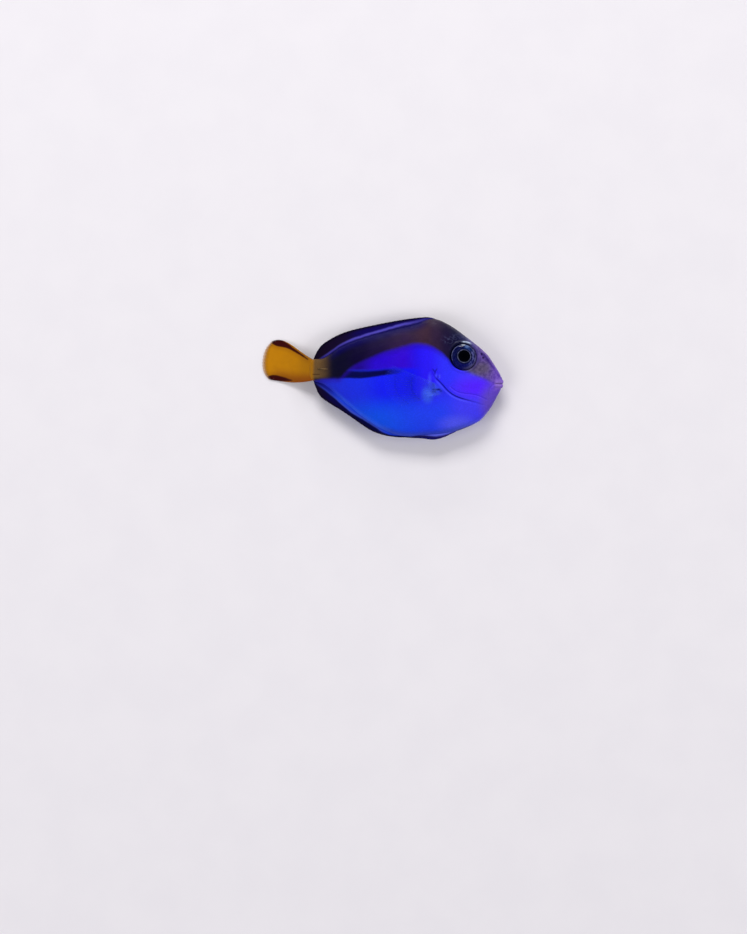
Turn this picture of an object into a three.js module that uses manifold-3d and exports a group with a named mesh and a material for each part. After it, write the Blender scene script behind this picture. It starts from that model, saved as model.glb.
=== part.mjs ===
// A juvenile regal blue tang, life size, lying on its left flank. Sizes are in millimetres.
// +X runs from tail to snout, +Y from belly to back, +Z from the flank it lies on to the one that shows.
// The floor is z = 0 and the origin lies under the middle of the fish.

import * as THREE from "three";
import { mergeVertices } from "three/addons/utils/BufferGeometryUtils.js";
import Module from "manifold-3d";

const wasm = await Module();
wasm.setup();

// Driving dimensions
const GAP = 0.25; // between neighbouring parts
const STALK_END = -8.6; // x where the flesh ends and the tail fin starts
const SNOUT_END = 14.75; // x where the flesh ends under the lips
const KEEL = 0.3; // half thickness of the back and belly edges
const FIN_THICK = 0.5;
const FIN_EDGE = 0.26; // fin thickness at the free margin
const RAY_RIDGE = 0.08; // how far a ray stands out of each face of its fin
const MID_HEIGHT = 2.12; // height of the middle plane over the floor, at the trunk
const TAIL_SAG = 0.42; // how far the middle plane sinks by the end of the tail stalk
const GILL_STEP = 0.2; // how far the gill cover's edge stands proud of the trunk
const COVER_THICK = 0.42;
const EYE = { x: 10.04, y: 2.58, radius: 1.58, depth: 1.52 };
const BODY_STATIONS = 46;
const RING_POINTS = 40;
const ABOVE_ALL = 7; // height over the whole fish, for cutters
const SLIVER = 0.004; // faces thinner than this are merged away after joining and cutting

// Outline of the flesh from the side, without fins: knots of x and height
const backLine = through([
  [-8.6, 2.4],
  [-7.2, 2.6],
  [-5.2, 4.0],
  [-2.7, 5.05],
  [1.0, 6.0],
  [4.1, 6.75],
  [6.3, 7.4],
  [8.4, 6.6],
  [10.9, 4.8],
  [13.0, 3.0],
  [14.2, 1.25],
  [14.6, 0.6],
  [14.75, 0.2],
]);
const bellyLine = through([
  [-8.6, -0.25],
  [-7.2, -0.8],
  [-5.2, -2.55],
  [-2.7, -4.6],
  [-0.3, -6.2],
  [2.2, -7.1],
  [5.2, -7.12],
  [8.9, -6.62],
  [12.0, -5.3],
  [13.4, -3.75],
  [14.2, -2.35],
  [14.6, -1.6],
  [14.75, -1.25],
]);
// Height of the widest level, half the width there, and how full the section is
const wideLevel = through([
  [-8.6, 1.07],
  [-4, 0.75],
  [2, 0.3],
  [8, 0.7],
  [10.5, 1.1],
  [14.75, -0.55],
]);
const halfWidth = through([
  [-8.6, 0.42],
  [-7.6, 0.72],
  [-6, 1.08],
  [-3, 1.68],
  [1, 2.16],
  [4.5, 2.26],
  [8, 2.06],
  [10.3, 1.8],
  [12.5, 1.26],
  [13.7, 0.86],
  [14.4, 0.56],
  [14.75, 0.32],
]);
const fullness = through([
  [-8.6, 0.6],
  [-4, 0.75],
  [3, 0.8],
  [8, 0.66],
  [11, 0.52],
  [14.75, 0.5],
]);
const SECTION_POWER = 2.2;

// The gill opening: down behind the gill cover, then forward to the throat
const GILL_OPENING = new THREE.SplineCurve([
  new THREE.Vector2(7.1, 8.4),
  new THREE.Vector2(6.55, 6.0),
  new THREE.Vector2(6.0, 3.6),
  new THREE.Vector2(5.95, 1.7),
  new THREE.Vector2(6.36, 0.3),
  new THREE.Vector2(7.26, -0.67),
  new THREE.Vector2(8.22, -1.7),
  new THREE.Vector2(9.3, -2.36),
  new THREE.Vector2(11.12, -2.88),
  new THREE.Vector2(12.5, -3.25),
  new THREE.Vector2(13.3, -4.4),
  new THREE.Vector2(13.5, -5.4),
]);
// The front edge of the gill cover, from the nape side to the throat
const COVER_FRONT = new THREE.SplineCurve([
  new THREE.Vector2(4.8, 3.55),
  new THREE.Vector2(6.9, 3.1),
  new THREE.Vector2(8.0, 1.6),
  new THREE.Vector2(8.35, 0.0),
  new THREE.Vector2(9.4, -1.3),
  new THREE.Vector2(10.8, -1.9),
  new THREE.Vector2(11.5, -2.5),
  new THREE.Vector2(11.6, -4.0),
]);
const TAIL_STALK_CUT = [new THREE.Vector2(-6.35, 6), new THREE.Vector2(-6.0, 0.9), new THREE.Vector2(-6.35, -4)];

// A smooth curve through knots sorted by x, as a function of x
function through(knots) {
  const slopes = knots.map((knot, i) => {
    const before = knots[Math.max(i - 1, 0)];
    const after = knots[Math.min(i + 1, knots.length - 1)];
    return (after[1] - before[1]) / (after[0] - before[0]);
  });
  return (x) => {
    let i = 0;
    while (i < knots.length - 2 && x > knots[i + 1][0]) i++;
    const span = knots[i + 1][0] - knots[i][0];
    const t = THREE.MathUtils.clamp((x - knots[i][0]) / span, 0, 1);
    const rise = t * t * (3 - 2 * t);
    const out = t * (1 - t) * (1 - t);
    const back = t * t * (t - 1);
    return knots[i][1] * (1 - rise) + knots[i + 1][1] * rise + span * (slopes[i] * out + slopes[i + 1] * back);
  };
}

// Height of the fish's middle plane, which sinks a little towards the tail
function midHeight(x) {
  const back = THREE.MathUtils.clamp((1 - x) / (1 - STALK_END), 0, 1);
  return MID_HEIGHT - TAIL_SAG * back * back;
}

// Half the thickness of the flesh at a point of the side view
function flank(x, y) {
  const level = wideLevel(x);
  const reach = y > level ? backLine(x) - level : level - bellyLine(x);
  const share = Math.min(Math.abs(y - level) / reach, 1);
  return KEEL + (halfWidth(x) - KEEL) * Math.pow(1 - Math.pow(share, SECTION_POWER), fullness(x));
}

// A manifold solid from any closed three.js geometry, turned to face out
function solidFrom(geometry) {
  const bare = geometry.index ? geometry.toNonIndexed() : geometry.clone();
  bare.deleteAttribute("normal");
  bare.deleteAttribute("uv");
  const merged = mergeVertices(bare, 1e-4);
  const triangles = [];
  for (let i = 0; i < merged.index.count; i += 3) {
    const [a, b, c] = [0, 1, 2].map((k) => merged.index.getX(i + k));
    if (a !== b && b !== c && c !== a) triangles.push([a, b, c]);
  }
  const make = (faces) =>
    new wasm.Manifold(
      new wasm.Mesh({
        numProp: 3,
        vertProperties: new Float32Array(merged.attributes.position.array),
        triVerts: new Uint32Array(faces.flat()),
      }),
    );
  const solid = make(triangles);
  return solid.volume() > 0 ? solid : make(triangles.map(([a, b, c]) => [a, c, b]));
}

function geometryFrom(solid) {
  const mesh = solid.getMesh();
  const positions = new Float32Array(mesh.numVert * 3);
  for (let i = 0; i < mesh.numVert; i++) {
    const start = i * mesh.numProp;
    positions.set(mesh.vertProperties.subarray(start, start + 3), i * 3);
  }
  const geometry = new THREE.BufferGeometry();
  geometry.setAttribute("position", new THREE.BufferAttribute(positions, 3));
  geometry.setIndex(new THREE.BufferAttribute(new Uint32Array(mesh.triVerts), 1));
  geometry.computeVertexNormals();
  return geometry;
}

// The closed piece of a solid that a score ranks highest
function pick(solid, score) {
  return solid.decompose().reduce((best, piece) => (score(piece) > score(best) ? piece : best));
}

// The largest closed piece, without the slivers that joining and cutting leave
function largest(solid) {
  return pick(solid, (piece) => piece.volume()).simplify(SLIVER);
}

// A closed skin over rings of points, capped at both ends or joined end to end
function loft(rings, joined = false) {
  const around = rings[0].length;
  const points = rings.flat();
  const index = [];
  const bands = joined ? rings.length : rings.length - 1;
  for (let r = 0; r < bands; r++) {
    for (let k = 0; k < around; k++) {
      const next = (k + 1) % around;
      const here = r * around;
      const there = ((r + 1) % rings.length) * around;
      index.push(here + k, here + next, there + k, there + k, here + next, there + next);
    }
  }
  if (!joined) {
    for (const [first, turned] of [[0, true], [(rings.length - 1) * around, false]]) {
      const hub = new THREE.Vector3();
      for (let k = 0; k < around; k++) hub.addScaledVector(points[first + k], 1 / around);
      const centre = points.push(hub) - 1;
      for (let k = 0; k < around; k++) {
        const edge = [first + k, first + ((k + 1) % around)];
        index.push(centre, ...(turned ? edge.reverse() : edge));
      }
    }
  }
  const geometry = new THREE.BufferGeometry().setFromPoints(points);
  geometry.setIndex(index);
  return geometry;
}

// A tube through points, with a radius for each place along it
function tube(points, radiusAt, sides, joined = false) {
  const count = points.length;
  const rings = points.map((centre, i) => {
    const ahead = points[joined ? (i + 1) % count : Math.min(i + 1, count - 1)];
    const behind = points[joined ? (i + count - 1) % count : Math.max(i - 1, 0)];
    const along = ahead.clone().sub(behind).normalize();
    const side = new THREE.Vector3(0, 0, 1).cross(along).normalize();
    const up = along.clone().cross(side);
    const radius = radiusAt(i / (count - 1));
    return Array.from({ length: sides }, (_, k) => {
      const turn = (2 * Math.PI * k) / sides;
      return centre
        .clone()
        .addScaledVector(side, radius * Math.cos(turn))
        .addScaledVector(up, radius * Math.sin(turn));
    });
  });
  return solidFrom(loft(rings, joined));
}

// A prism over an outline of the side view
function prism(outline, low, high) {
  const geometry = new THREE.ExtrudeGeometry(new THREE.Shape(outline), {
    depth: high - low,
    bevelEnabled: false,
  });
  return solidFrom(geometry.translate(0, 0, low));
}

// The outline of a thin strip along a line of the side view
function strip(line, width) {
  const sides = [[], []];
  line.forEach((point, i) => {
    const ahead = line[Math.min(i + 1, line.length - 1)];
    const behind = line[Math.max(i - 1, 0)];
    const along = ahead.clone().sub(behind).normalize();
    const across = new THREE.Vector2(-along.y, along.x).multiplyScalar(width / 2);
    sides[0].push(point.clone().add(across));
    sides[1].unshift(point.clone().sub(across));
  });
  return sides.flat();
}

// The flesh as one loft, drawn in by an inset that may change over the side view
function flesh(insetAt) {
  const rings = [];
  for (let i = 0; i <= BODY_STATIONS; i++) {
    const share = i / BODY_STATIONS;
    const crowded = (share + (1 - Math.cos(Math.PI * share)) / 2) / 2;
    const x = THREE.MathUtils.lerp(STALK_END, SNOUT_END, crowded);
    const level = wideLevel(x);
    const ring = [];
    for (let k = 0; k < RING_POINTS; k++) {
      const turn = (2 * Math.PI * (k + 0.5)) / RING_POINTS;
      const rise = Math.cos(turn);
      const y = level + rise * (rise > 0 ? backLine(x) - level : level - bellyLine(x));
      const half = Math.max(flank(x, y) - insetAt(x, y), 0.1);
      const z = midHeight(x) + Math.sign(Math.sin(turn)) * half;
      ring.push(new THREE.Vector3(x, y, Math.max(z, 0)));
    }
    rings.push(ring);
  }
  return solidFrom(loft(rings));
}

const gillLine = GILL_OPENING.getPoints(60);
const coverLine = COVER_FRONT.getPoints(40);

// How far the trunk is drawn in behind the gill cover
function gillInset(x, y) {
  const here = new THREE.Vector2(x, y);
  const away = Math.min(...gillLine.map((point) => point.distanceTo(here)));
  return GILL_STEP * Math.exp(-away / 1.1);
}

// A fin as a closed sheet with a ridge on both faces for each ray. place gives the middle surface at a
// share t across the rays and s from root to tip. Both faces are split into triangles alike.
function finSheet({ rays, rows, place, thick = FIN_THICK, edge = FIN_EDGE, ridge = RAY_RIDGE }) {
  const columns = 2 * rays + 1;
  const faces = [[], []];
  const nudge = 0.01;
  for (let r = 0; r < rows; r++) {
    for (let c = 0; c < columns; c++) {
      const t = c / (columns - 1);
      const onRay = c % 2 === 1;
      const s = (r / (rows - 1)) * (onRay ? 1 : 0.985);
      const centre = place(t, s);
      const across = place(Math.min(t + nudge, 1), s).sub(place(Math.max(t - nudge, 0), s));
      const along = place(t, Math.min(s + nudge, 1)).sub(place(t, Math.max(s - nudge, 0)));
      const normal = along.cross(across).normalize();
      if (normal.z < 0) normal.negate();
      const thinning = THREE.MathUtils.smoothstep(s, 0.35, 1);
      const half = THREE.MathUtils.lerp(thick, edge, thinning) / 2 + (onRay ? ridge * (1 - 0.6 * s) : 0);
      faces[0].push(centre.clone().addScaledVector(normal, half));
      faces[1].push(centre.clone().addScaledVector(normal, -half));
    }
  }
  for (const point of faces[1]) point.z = Math.max(point.z, 0);
  const under = rows * columns;
  const index = [];
  for (let r = 0; r < rows - 1; r++) {
    for (let c = 0; c < columns - 1; c++) {
      const [a, b] = [r * columns + c, r * columns + c + 1];
      const [d, e] = [a + columns, b + columns];
      index.push(a, b, d, b, e, d);
      index.push(under + a, under + d, under + b, under + b, under + d, under + e);
    }
  }
  const rim = [];
  for (let c = 0; c < columns; c++) rim.push(c);
  for (let r = 1; r < rows; r++) rim.push(r * columns + columns - 1);
  for (let c = columns - 2; c >= 0; c--) rim.push((rows - 1) * columns + c);
  for (let r = rows - 2; r > 0; r--) rim.push(r * columns);
  rim.forEach((a, i) => {
    const b = rim[(i + 1) % rim.length];
    index.push(a, under + a, b, b, under + a, under + b);
  });
  const geometry = new THREE.BufferGeometry().setFromPoints(faces.flat());
  geometry.setIndex(index);
  return solidFrom(geometry);
}

// The body, parted at the gill opening and the tail stalk
const gillCut = prism(strip(gillLine, GAP), -1, ABOVE_ALL);
const stalkLine = new THREE.SplineCurve(TAIL_STALK_CUT).getPoints(12);
const stalkCut = prism(strip(stalkLine, GAP), -1, ABOVE_ALL);
const forwardness = (piece) => piece.boundingBox().max[0];
const rearness = (piece) => -piece.boundingBox().min[0];

const whole = flesh(() => 0);
const drawnIn = flesh(gillInset);
const headBlock = pick(whole.subtract(gillCut), (p) => p.boundingBox().max[1] + forwardness(p));
const behindGills = pick(drawnIn.subtract(gillCut), rearness);

// Eyes: a domed ball set into each side of the head, turned a little up and forward
const EYE_TILT_UP = 0.2;
const EYE_TILT_FORWARD = 0.14;
const CORNEA_RISE = 0.46;

function eyeProfile(grow) {
  const radius = EYE.radius + grow;
  const points = [new THREE.Vector2(0, -1 - grow), new THREE.Vector2(0.62 * radius, -0.95 - grow)];
  points.push(new THREE.Vector2(0.92 * radius, -0.55), new THREE.Vector2(radius, -0.12));
  const steps = 7;
  for (let i = 1; i < steps; i++) {
    const turn = (Math.PI / 2) * (i / steps);
    points.push(new THREE.Vector2(radius * Math.cos(turn), (CORNEA_RISE + grow) * Math.sin(turn)));
  }
  points.push(new THREE.Vector2(0, CORNEA_RISE + grow));
  return points;
}

function placeEye(geometry, side) {
  geometry.rotateX((Math.PI / 2) * side);
  geometry.rotateX(-EYE_TILT_UP * side);
  geometry.rotateY(EYE_TILT_FORWARD * side);
  geometry.translate(EYE.x, EYE.y, midHeight(EYE.x) + side * EYE.depth);
  return geometry;
}

function eyeBall(side, grow) {
  return solidFrom(placeEye(new THREE.LatheGeometry(eyeProfile(grow), 28), side));
}

// The raised rim of the eye socket, which follows the cheek
function orbitRim(side) {
  const count = 30;
  const reach = EYE.radius + GAP + 0.06;
  const points = Array.from({ length: count }, (_, i) => {
    const turn = (2 * Math.PI * i) / count;
    const x = EYE.x + reach * Math.cos(turn);
    const y = EYE.y + reach * Math.sin(turn);
    return new THREE.Vector3(x, y, midHeight(x) + side * (flank(x, y) - 0.02));
  });
  return tube(points, () => 0.14, 6, true);
}

// Lips: a rounded bar bent round the snout, above and below the mouth line
const MOUTH = { level: -0.68, corner: 13.85, half: 0.68 };

function lip(rise, reach, radius) {
  const bend = new THREE.CatmullRomCurve3(
    [-1, -0.72, 0, 0.72, 1].map((share) => {
      const x = reach - (reach - MOUTH.corner) * Math.pow(Math.abs(share), 2.4);
      const y = MOUTH.level + rise * (1 - 0.45 * share * share);
      return new THREE.Vector3(x, y, midHeight(x) + share * MOUTH.half);
    }),
  );
  const points = bend.getPoints(12);
  const count = points.length;
  const rings = points.map((centre, i) => {
    const along = bend.getTangent(i / (count - 1));
    const side = new THREE.Vector3(0, 1, 0).cross(along).normalize();
    const size = radius * (0.55 + 0.45 * Math.sin((Math.PI * i) / (count - 1)));
    return Array.from({ length: 10 }, (_, k) => {
      const turn = (2 * Math.PI * k) / 10;
      return centre
        .clone()
        .addScaledVector(side, 0.85 * size * Math.cos(turn))
        .add(new THREE.Vector3(0, size * Math.sin(turn), 0));
    });
  });
  return solidFrom(loft(rings));
}

const UPPER_LIP = { rise: 0.4, reach: 14.68, radius: 0.38 };
const LOWER_LIP = { rise: -0.38, reach: 14.58, radius: 0.35 };
const NOSTRILS = [
  { x: 12.5, y: 2.5, radius: 0.15 },
  { x: 12.28, y: 2.98, radius: 0.12 },
];

// The line of the mouth, cut between the lips and back to their corners
function mouthSlit() {
  const slit = new THREE.SphereGeometry(1, 20, 8);
  slit.scale(0.95, 0.07, 1.02);
  slit.translate(14.78, MOUTH.level, midHeight(14.7));
  return solidFrom(slit);
}

function nostril({ x, y, radius }, side) {
  const pit = new THREE.SphereGeometry(radius, 10, 6);
  pit.scale(1.25, 0.9, 1.5);
  pit.translate(x, y, midHeight(x) + side * flank(x, y));
  return solidFrom(pit);
}

const SIDES = [
  { name: "right", sign: 1 },
  { name: "left", sign: -1 },
];

// The gill covers, each a plate over the rear of the head with a gap under it
const coverZone = [...coverLine, new THREE.Vector2(3, -6), new THREE.Vector2(3, 3.5)];
const coverInside = flesh(() => COVER_THICK);
const headInside = flesh(() => COVER_THICK + GAP);

function sideZone(outline, sign) {
  const mid = midHeight(9);
  return sign > 0 ? prism(outline, mid, ABOVE_ALL) : prism(outline, -1, mid);
}

function gillCover(sign) {
  const zone = sideZone(coverZone, sign).subtract(sideZone(strip(coverLine, GAP), sign));
  return largest(headBlock.intersect(zone).subtract(coverInside));
}

function headSolid() {
  let head = headBlock.add(lip(UPPER_LIP.rise, UPPER_LIP.reach, UPPER_LIP.radius));
  head = head.add(lip(LOWER_LIP.rise, LOWER_LIP.reach, LOWER_LIP.radius)).subtract(mouthSlit());
  for (const { sign } of SIDES) {
    head = head.add(orbitRim(sign));
    const zone = sideZone(coverZone, sign).add(sideZone(strip(coverLine, GAP), sign));
    head = head.subtract(zone.subtract(headInside));
    head = head.subtract(eyeBall(sign, GAP));
    for (const pit of NOSTRILS) head = head.subtract(nostril(pit, sign));
  }
  return largest(head);
}

// The tail spine: a small forward-pointing blade on each side of the stalk
function tailSpine(sign) {
  const level = 1.15;
  const rings = [-8.1, -7.7, -7.2, -6.75].map((x, i) => {
    const size = [0.04, 0.12, 0.1, 0.03][i];
    const base = midHeight(x) + sign * (flank(x, level) - 0.1);
    return [
      new THREE.Vector3(x, level - size, base),
      new THREE.Vector3(x, level, base + sign * (0.1 + size)),
      new THREE.Vector3(x, level + size, base),
      new THREE.Vector3(x, level, base - sign * 0.15),
    ];
  });
  return solidFrom(loft(rings));
}

// Rear outlines of the folded fins: the outer margin of each as a function of x
const dorsalMargin = through([
  [-8.55, 2.55],
  [-8.3, 3.1],
  [-7.6, 4.05],
  [-6.5, 4.85],
  [-5.2, 5.52],
  [-3.7, 6.02],
  [-0.25, 6.78],
  [2.85, 7.33],
  [5.3, 7.6],
]);
const analMargin = through([
  [-8.55, -0.45],
  [-8.3, -1.2],
  [-7.7, -2.15],
  [-6.45, -3.12],
  [-5.2, -3.88],
  [-3.97, -4.7],
  [-2.7, -5.6],
  [-1.5, -6.38],
  [-0.4, -6.85],
  [1.0, -7.22],
]);

// A fin along the back or belly: rays lean back from a root along the keel to the margin
function keelFin({ rays, from, to, lean, keel, side, margin }) {
  return finSheet({
    rays,
    rows: 4,
    place: (t, s) => {
      const rootX = THREE.MathUtils.lerp(from, to, t);
      const root = new THREE.Vector2(rootX, keel(rootX) + side * GAP);
      const tipX = Math.max(rootX - lean(t), -8.5);
      const tip = new THREE.Vector2(tipX, margin(tipX));
      const at = root.lerp(tip, s);
      return new THREE.Vector3(at.x, at.y, midHeight(at.x));
    },
  });
}

const dorsalFin = keelFin({
  rays: 28,
  from: 6.0,
  to: -7.1,
  lean: through([
    [0, 0.6],
    [0.3, 1.35],
    [0.8, 1.6],
    [1, 1.4],
  ]),
  keel: backLine,
  side: 1,
  margin: dorsalMargin,
});

const analFin = keelFin({
  rays: 21,
  from: 1.35,
  to: -7.1,
  lean: through([
    [0, 0.5],
    [0.3, 1.1],
    [0.8, 1.4],
    [1, 1.4],
  ]),
  keel: bellyLine,
  side: -1,
  margin: analMargin,
});

// The tail fin fans from the end of the stalk and sinks until its margin lies on the floor
const tailTips = new THREE.SplineCurve([
  new THREE.Vector2(-13.75, 4.72),
  new THREE.Vector2(-14.65, 3.5),
  new THREE.Vector2(-15.0, 2.05),
  new THREE.Vector2(-14.8, 0.8),
  new THREE.Vector2(-14.2, 0.0),
]);
const TAIL_ROOT = { x: STALK_END - GAP, top: 2.3, bottom: -0.15 };
const TAIL_REST = 0.86; // share of a ray's length past which the fin lies on the floor

const caudalFin = finSheet({
  rays: 16,
  rows: 7,
  thick: 0.62,
  place: (t, s) => {
    const root = new THREE.Vector2(TAIL_ROOT.x, THREE.MathUtils.lerp(TAIL_ROOT.top, TAIL_ROOT.bottom, t));
    const tip = tailTips.getPoint(t);
    const at = root.clone().lerp(tip, s);
    at.y += THREE.MathUtils.lerp(0.78 * Math.sin(Math.PI * s ** 1.8), -0.4 * Math.sin(Math.PI * s ** 0.8), t);
    const start = midHeight(STALK_END);
    const down = THREE.MathUtils.clamp(s / TAIL_REST, 0, 1);
    return new THREE.Vector3(at.x, at.y, start - (start - FIN_EDGE / 2) * Math.sin((Math.PI / 2) * down));
  },
});

// Pectoral fins: the right one half spread over the flank, the left one folded under the body
const PECTORAL_ROOT = [new THREE.Vector2(6.5, -0.7), new THREE.Vector2(7.1, -2.05)];

const rightPectoralTips = new THREE.SplineCurve([
  new THREE.Vector2(1.2, 1.5),
  new THREE.Vector2(0.2, 0.1),
  new THREE.Vector2(0.5, -2.0),
  new THREE.Vector2(2.2, -3.6),
]);
const leftPectoralTips = new THREE.SplineCurve([
  new THREE.Vector2(1.2, -2.7),
  new THREE.Vector2(0.8, -3.5),
  new THREE.Vector2(1.2, -4.3),
  new THREE.Vector2(2.1, -4.9),
]);

const rightPectoral = finSheet({
  rays: 16,
  rows: 6,
  place: (t, s) => {
    const tip = rightPectoralTips.getPoint(t);
    const at = PECTORAL_ROOT[0].clone().lerp(PECTORAL_ROOT[1], t).lerp(tip, s);
    const lift = GAP + RAY_RIDGE + FIN_THICK / 2 + 0.15 * s * s;
    return new THREE.Vector3(at.x, at.y, midHeight(at.x) + flank(at.x, at.y) + lift);
  },
});

const LEFT_PECTORAL_THICK = 0.42;
const leftPectoral = finSheet({
  rays: 10,
  rows: 5,
  thick: LEFT_PECTORAL_THICK,
  ridge: 0.05,
  place: (t, s) => {
    const tip = leftPectoralTips.getPoint(t);
    const at = PECTORAL_ROOT[0].clone().lerp(PECTORAL_ROOT[1], t).lerp(tip, s);
    return new THREE.Vector3(at.x, at.y, LEFT_PECTORAL_THICK / 2);
  },
});

// The hollow of the left flank that the folded pectoral fin lies in
function pectoralHollow() {
  const margin = GAP + 0.02;
  const outline = [
    PECTORAL_ROOT[0].clone().add(new THREE.Vector2(margin, margin)),
    ...leftPectoralTips.getPoints(8).map((tip) => {
      const out = tip.clone().sub(PECTORAL_ROOT[0]).setLength(margin);
      return tip.clone().add(out);
    }),
    PECTORAL_ROOT[1].clone().add(new THREE.Vector2(margin, -margin)),
  ];
  outline[1].y += margin;
  outline[outline.length - 2].y -= margin;
  return prism(outline, -1, LEFT_PECTORAL_THICK + 0.05 + GAP);
}

// The fleshy lobe that the right pectoral fin grows from
function pectoralLobe() {
  const [top, bottom] = PECTORAL_ROOT;
  const forward = new THREE.Vector2(top.y - bottom.y, bottom.x - top.x).setLength(0.55);
  const centre = top.clone().lerp(bottom, 0.5).add(forward);
  const lobe = new THREE.SphereGeometry(1, 16, 10);
  lobe.scale(0.34, 0.9, 0.75);
  lobe.rotateZ(Math.atan2(bottom.x - top.x, top.y - bottom.y));
  lobe.translate(centre.x, centre.y, midHeight(centre.x) + flank(centre.x, centre.y) - 0.02);
  return solidFrom(lobe);
}

// Pelvic fins: two narrow folded blades that lie back under the keel of the belly, side by side
const PELVIC = { root: 8.7, longest: 5.0, shortest: 6.4, thick: 0.46, hang: 0.5 };

function pelvicFin(sign) {
  return finSheet({
    rays: 4,
    rows: 6,
    thick: PELVIC.thick,
    ridge: 0.05,
    place: (t, s) => {
      const x = THREE.MathUtils.lerp(PELVIC.root, THREE.MathUtils.lerp(PELVIC.longest, PELVIC.shortest, t), s);
      const depth = PELVIC.hang * (0.15 + 0.85 * Math.sin(Math.PI * (0.03 + 0.92 * s)));
      const y = bellyLine(x) - GAP - THREE.MathUtils.lerp(depth, 0, t);
      return new THREE.Vector3(x, y, midHeight(x) + sign * (GAP / 2 + 0.05 + PELVIC.thick / 2));
    },
  });
}

// Parting the trunk from the tail stalk
const trunkPiece = pick(behindGills.subtract(stalkCut), forwardness);
const stalkPiece = pick(behindGills.subtract(stalkCut), rearness);
const torso = largest(trunkPiece.add(pectoralLobe()).subtract(gillCut).subtract(pectoralHollow()));
const tailStalk = largest(SIDES.reduce((stalk, { sign }) => stalk.add(tailSpine(sign)), stalkPiece));

// Materials, from the photograph
const finish = {
  skin: { color: 0x1c2ff0, roughness: 0.25, metalness: 0.0 },
  stalk: { color: 0x8a6a2c, roughness: 0.3, metalness: 0.0 },
  darkFin: { color: 0x14103c, roughness: 0.3, metalness: 0.0 },
  tailFin: { color: 0xd79a08, roughness: 0.35, metalness: 0.0 },
  clearFin: { color: 0x6f9fe6, roughness: 0.3, metalness: 0.0 },
  eye: { color: 0x0a1026, roughness: 0.06, metalness: 0.0 },
};

const parts = [
  ["head", headSolid(), finish.skin],
  ["torso", torso, finish.skin],
  ["tail_stalk", tailStalk, finish.stalk],
  ["dorsal_fin", dorsalFin, finish.darkFin],
  ["anal_fin", analFin, finish.darkFin],
  ["caudal_fin", caudalFin, finish.tailFin],
  ["pectoral_fin_right", rightPectoral, finish.clearFin],
  ["pectoral_fin_left", leftPectoral, finish.clearFin],
];
for (const { name, sign } of SIDES) {
  parts.push(["gill_cover_" + name, gillCover(sign), finish.skin]);
  parts.push(["pelvic_fin_" + name, pelvicFin(sign), finish.clearFin]);
  parts.push(["eye_" + name, eyeBall(sign, 0), finish.eye]);
}

const fish = new THREE.Group();
for (const [name, solid, look] of parts) {
  const mesh = new THREE.Mesh(geometryFrom(solid), new THREE.MeshStandardMaterial(look));
  mesh.name = name;
  fish.add(mesh);
}

export default fish;
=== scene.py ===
# A juvenile regal blue tang, life size, lying on its left flank on a pale floor.
# The shape is worked out in millimetres and written to Blender in metres.
# +X runs from tail to snout, +Y from belly to back, +Z from the flank it lies on to the one that shows.

import bpy
import numpy as np
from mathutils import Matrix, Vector


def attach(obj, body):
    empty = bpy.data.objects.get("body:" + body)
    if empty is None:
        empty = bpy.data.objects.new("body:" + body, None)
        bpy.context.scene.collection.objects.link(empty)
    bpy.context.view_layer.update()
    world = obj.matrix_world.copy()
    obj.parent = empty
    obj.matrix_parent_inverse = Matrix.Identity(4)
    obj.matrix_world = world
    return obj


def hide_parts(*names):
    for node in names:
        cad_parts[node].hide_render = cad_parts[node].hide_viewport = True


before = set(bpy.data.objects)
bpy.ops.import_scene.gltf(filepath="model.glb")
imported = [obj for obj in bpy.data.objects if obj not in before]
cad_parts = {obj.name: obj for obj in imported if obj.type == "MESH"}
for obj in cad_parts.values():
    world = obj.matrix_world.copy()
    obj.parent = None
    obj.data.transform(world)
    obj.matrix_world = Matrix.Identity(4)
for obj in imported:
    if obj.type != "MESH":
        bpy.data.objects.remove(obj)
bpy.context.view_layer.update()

MM = 0.001

# Sizes shared with the solids
STALK_END = -8.6
SNOUT_END = 14.75
KEEL = 0.3
MID_HEIGHT = 2.12
TAIL_SAG = 0.42
SECTION_POWER = 2.2
EYE_X, EYE_Y, EYE_RADIUS, EYE_DEPTH = 10.04, 2.58, 1.58, 1.52
EYE_TILT_UP, EYE_TILT_FORWARD, CORNEA_RISE = 0.2, 0.14, 0.46
MOUTH_LEVEL = -0.68

# How fine the skin is
HEAD_START = 6.0
TRUNK_STATIONS = 130
HEAD_STATIONS = 205
CAP_STATIONS = 12
HALF_RING = 134

# Smaller forms of the scene alone
EYE_BACK = 0.9
NOSTRILS = [(12.5, 2.5, 0.15), (12.28, 2.98, 0.12)]
FOLD_DEPTH = 0.22
SCALE_STRETCH = (1.0, 1.35, 1.0)


# Curves and distances

def through(knots):
    """A smooth curve through knots sorted by x, as a function of x."""
    xs, ys = np.array(knots, float).T
    last = len(xs) - 1
    after = np.minimum(np.arange(last + 1) + 1, last)
    before = np.maximum(np.arange(last + 1) - 1, 0)
    slopes = (ys[after] - ys[before]) / (xs[after] - xs[before])

    def at(x):
        x = np.asarray(x, float)
        i = np.clip(np.searchsorted(xs, x) - 1, 0, last - 1)
        span = xs[i + 1] - xs[i]
        t = np.clip((x - xs[i]) / span, 0, 1)
        rise = t * t * (3 - 2 * t)
        out, back = t * (1 - t) ** 2, t * t * (t - 1)
        return ys[i] * (1 - rise) + ys[i + 1] * rise + span * (slopes[i] * out + slopes[i + 1] * back)

    return at


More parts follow.
